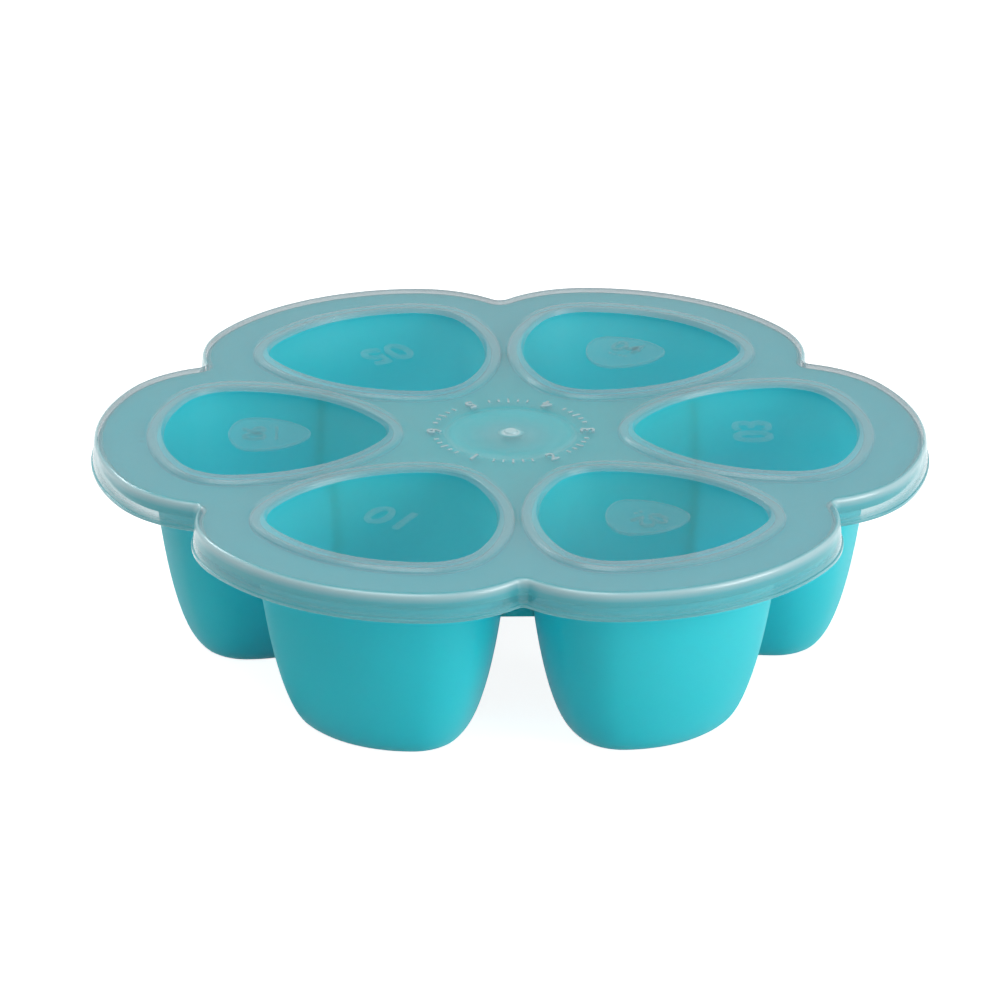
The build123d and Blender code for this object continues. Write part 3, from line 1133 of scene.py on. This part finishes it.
class FREEZER_OT_dial(bpy.types.Operator):
    """Build the ring of compartment numbers and ticks round the lid's dish"""

    bl_idname = "freezer.build_dial"
    bl_label = "Centre dial"

    def execute(self, context):
        plan = Plan(context.scene.freezer_plan)
        lid = context.scene.freezer_lid
        marks = context.scene.freezer_marks
        plate = lid_high.z - lid.ring_height
        ticks = 5
        tick_pitch = 0.12       # against the turn from one cup to the next
        short = 0.6             # length of the outer ticks against the middle one
        skin = Skin()
        for number in range(1, plan.sizes.cup_count + 1):
            angle = cup_angle(plan, number)
            place = facing(angle, marks.dial_radius, plate, outward=False)
            # The dial's marks are milky and painted in the pale highlight colour.
            add_text(skin, str(number), marks.dial_number, marks.number_relief, place, DIAL_FROST_AND_HIGHLIGHT)
            for tick in range(ticks):
                turned = angle + plan.pitch * (0.5 + (tick - (ticks - 1) / 2) * tick_pitch)
                tall = 1.0 if tick == ticks // 2 else short
                self.add_tick(skin, marks, facing(turned, marks.dial_radius, plate, True), tall)
        skin.finish("centre_dial", lid_material(), "lid", "lid_plastic")
        return {"FINISHED"}

    def add_tick(self, skin, marks, place, tall):
        """A short raised bar with sloped sides."""
        loops = []
        for grown, height in ((1.0, -0.5), (1.0, 0.5), (0.6, 1.0)):
            wide = marks.tick_width / 2 * grown
            long = marks.tick_length * tall / 2 - marks.tick_width / 2 * (1 - grown)
            corners = ((-wide, -long), (wide, -long), (wide, long), (-wide, long))
            points = [place @ Vector((x, y, height * marks.number_relief)) for x, y in corners]
            # Painted highlight: the ticks take the dial's pale highlight colour.
            loops.append(skin.loop(points, DIAL_FROST_AND_HIGHLIGHT))
        skin.mesh.faces.new(loops[0])
        skin.mesh.faces.new(loops[-1])
        skin.stack(loops)


# ---- The stage ----
Softbox = namedtuple("Softbox", "name power place size")

SOFTBOXES = (
    Softbox("key_softbox", "key_power", (1.12, -0.65, 0.42), 0.8),
    Softbox("back_softbox", "back_power", (-0.7, 0.75, 0.85), 0.4),
    Softbox("top_softbox", "top_power", (-0.3, -0.5, 1.2), 0.8),
)
FLOOR_REACH = 4.0
FLOOR_GAP = 0.2 * MM        # floor below the cups, so that their faces don't coincide
FLOOR_GREY = (0.6, 0.6, 0.6, 1)
FLOOR_GLOW = 0.9            # white that the floor adds for the camera


def white_to_camera(wires, kind, strength):
    """A shader mix that takes a white shader for camera, glossy and transmission rays."""
    path = wires.nodes.new("ShaderNodeLightPath").outputs
    seen = wires.result("MAXIMUM", path["Is Camera Ray"], path["Is Glossy Ray"])
    seen = wires.result("MAXIMUM", seen, path["Is Transmission Ray"])
    mix = wires.nodes.new("ShaderNodeMixShader")
    wires.links.new(seen, mix.inputs["Fac"])
    return mix, wires.node(kind, Color=WHITE, Strength=strength)


class FREEZER_OT_stage(bpy.types.Operator):
    """Build the stage: pale floor, softboxes, even surroundings and the camera"""

    bl_idname = "freezer.build_stage"
    bl_label = "Stage"

    def execute(self, context):
        studio = context.scene.freezer_studio
        self.add_floor()
        self.light_world(context, studio)
        aim = Vector((0, 0, studio.aim_height))
        for softbox in SOFTBOXES:
            self.add_lamp(softbox, getattr(studio, softbox.power), aim)
        self.add_camera(context, studio, aim)
        context.scene.view_settings.view_transform = "Standard"
        return {"FINISHED"}

    def add_floor(self):
        """A wide pale floor that keeps the tray's shadow, and is seen through from below."""
        data = bpy.data.meshes.new("floor")
        signs = ((-1, -1), (1, -1), (1, 1), (-1, 1))
        corners = [(x * FLOOR_REACH, y * FLOOR_REACH, 0) for x, y in signs]
        data.from_pydata(corners, [], [(0, 1, 2, 3)])
        floor = bpy.data.objects.new("floor", data)
        floor.location.z = cad_low.z - FLOOR_GAP
        bpy.context.scene.collection.objects.link(floor)
        material, wires, shader = new_material("pale_floor")
        shader.inputs["Base Color"].default_value = FLOOR_GREY
        shader.inputs["Roughness"].default_value = 0.9
        shader.inputs["Specular IOR Level"].default_value = 0.0
        mix, white = white_to_camera(wires, "ShaderNodeEmission", FLOOR_GLOW)
        add = wires.nodes.new("ShaderNodeAddShader")
        side = wires.nodes.new("ShaderNodeNewGeometry")
        see_through = wires.nodes.new("ShaderNodeBsdfTransparent")
        surface = wires.nodes.new("ShaderNodeMixShader")
        for start, end in (
            (white.outputs["Emission"], add.inputs[0]),
            (shader.outputs["BSDF"], add.inputs[1]),
            (shader.outputs["BSDF"], mix.inputs[1]),
            (add.outputs["Shader"], mix.inputs[2]),
            (side.outputs["Backfacing"], surface.inputs["Fac"]),
            (mix.outputs["Shader"], surface.inputs[1]),
            (see_through.outputs["BSDF"], surface.inputs[2]),
            (surface.outputs["Shader"], wires.nodes["Material Output"].inputs["Surface"]),
        ):
            wires.links.new(start, end)
        data.materials.append(material)

    def light_world(self, context, studio):
        """Even white surroundings, seen as plain white."""
        world = bpy.data.worlds.new("surroundings")
        context.scene.world = world
        world.use_nodes = True
        wires = Wiring(world.node_tree)
        mix, white = white_to_camera(wires, "ShaderNodeBackground", 1.0)
        even = wires.nodes["Background"]
        even.inputs["Color"].default_value = WHITE
        even.inputs["Strength"].default_value = studio.ambient
        wires.links.new(even.outputs["Background"], mix.inputs[1])
        wires.links.new(white.outputs["Background"], mix.inputs[2])
        wires.links.new(mix.outputs["Shader"], wires.nodes["World Output"].inputs["Surface"])

    def add_lamp(self, softbox, power, aim):
        """A square softbox that faces the tray."""
        data = bpy.data.lights.new(softbox.name, "AREA")
        data.energy = power
        data.size = softbox.size
        lamp = bpy.data.objects.new(softbox.name, data)
        lamp.location = softbox.place
        lamp.rotation_mode = "QUATERNION"
        lamp.rotation_quaternion = (aim - Vector(softbox.place)).to_track_quat("-Z", "Y")
        bpy.context.scene.collection.objects.link(lamp)

    def add_camera(self, context, studio, aim):
        """The camera, turned about the aim point and then panned, tilted and rolled."""
        flat, rise = cos(studio.elevation), sin(studio.elevation)
        back = Vector((0, -flat, rise))
        ahead, right = -back, Vector((1, 0, 0))
        up = right.cross(ahead)
        panned = Matrix.Rotation(studio.pan, 3, up)
        ahead, right = panned @ ahead, panned @ right
        tilted = Matrix.Rotation(studio.tilt, 3, right)
        ahead, up = tilted @ ahead, tilted @ up
        rolled = Matrix.Rotation(studio.roll, 3, ahead)
        right, up = rolled @ right, rolled @ up
        stand = Matrix.Rotation(studio.azimuth, 3, "Z")
        axes = Matrix((right, up, -ahead)).transposed()
        data = bpy.data.cameras.new("camera")
        data.sensor_width = studio.sensor / MM
        data.lens = studio.focal / MM
        data.clip_start, data.clip_end = 0.05, 20.0
        camera = bpy.data.objects.new("camera", data)
        context.scene.collection.objects.link(camera)
        turned = (stand @ axes).to_4x4()
        camera.matrix_world = Matrix.Translation(aim + stand @ back * studio.distance) @ turned
        context.scene.camera = camera


class FREEZER_PT_panel(bpy.types.Panel):
    """Lists the pieces of the freezer tray"""

    bl_idname = "FREEZER_PT_panel"
    bl_label = "Baby Food Freezer Tray"
    bl_space_type = "VIEW_3D"
    bl_region_type = "UI"
    bl_category = "Freezer Tray"

    def draw(self, context):
        column = self.layout.column()
        for operator in OPERATORS:
            column.operator(operator.bl_idname)
        for name, group in GROUPS.items():
            box = self.layout.box()
            for field in group.__annotations__:
                box.prop(getattr(context.scene, name), field)


OPERATORS = (
    FREEZER_OT_tray,
    FREEZER_OT_lid,
    FREEZER_OT_window_numbers,
    FREEZER_OT_window_pads,
    FREEZER_OT_dial,
    FREEZER_OT_stage,
)
GROUPS = {
    "freezer_plan": PlanSizes,
    "freezer_tray": TraySizes,
    "freezer_lid": LidSizes,
    "freezer_marks": MarkSizes,
    "freezer_finish": Finish,
    "freezer_studio": Studio,
}


def register():
    """Registers the property groups, the operators and the panel."""
    for name, group in GROUPS.items():
        bpy.utils.register_class(group)
        setattr(bpy.types.Scene, name, bpy.props.PointerProperty(type=group))
    for operator in OPERATORS:
        bpy.utils.register_class(operator)
    bpy.utils.register_class(FREEZER_PT_panel)


def unregister():
    """Takes away everything that register() added."""
    bpy.utils.unregister_class(FREEZER_PT_panel)
    for operator in reversed(OPERATORS):
        bpy.utils.unregister_class(operator)
    for name, group in reversed(list(GROUPS.items())):
        delattr(bpy.types.Scene, name)
        bpy.utils.unregister_class(group)


def main():
    """Builds the tray, the lid, its marks and the stage."""
    register()
    bpy.ops.freezer.build_tray()
    bpy.ops.freezer.build_lid()
    bpy.ops.freezer.build_window_numbers()
    bpy.ops.freezer.build_window_pads()
    bpy.ops.freezer.build_dial()
    bpy.ops.freezer.build_stage()


if __name__ == "__main__":
    main()
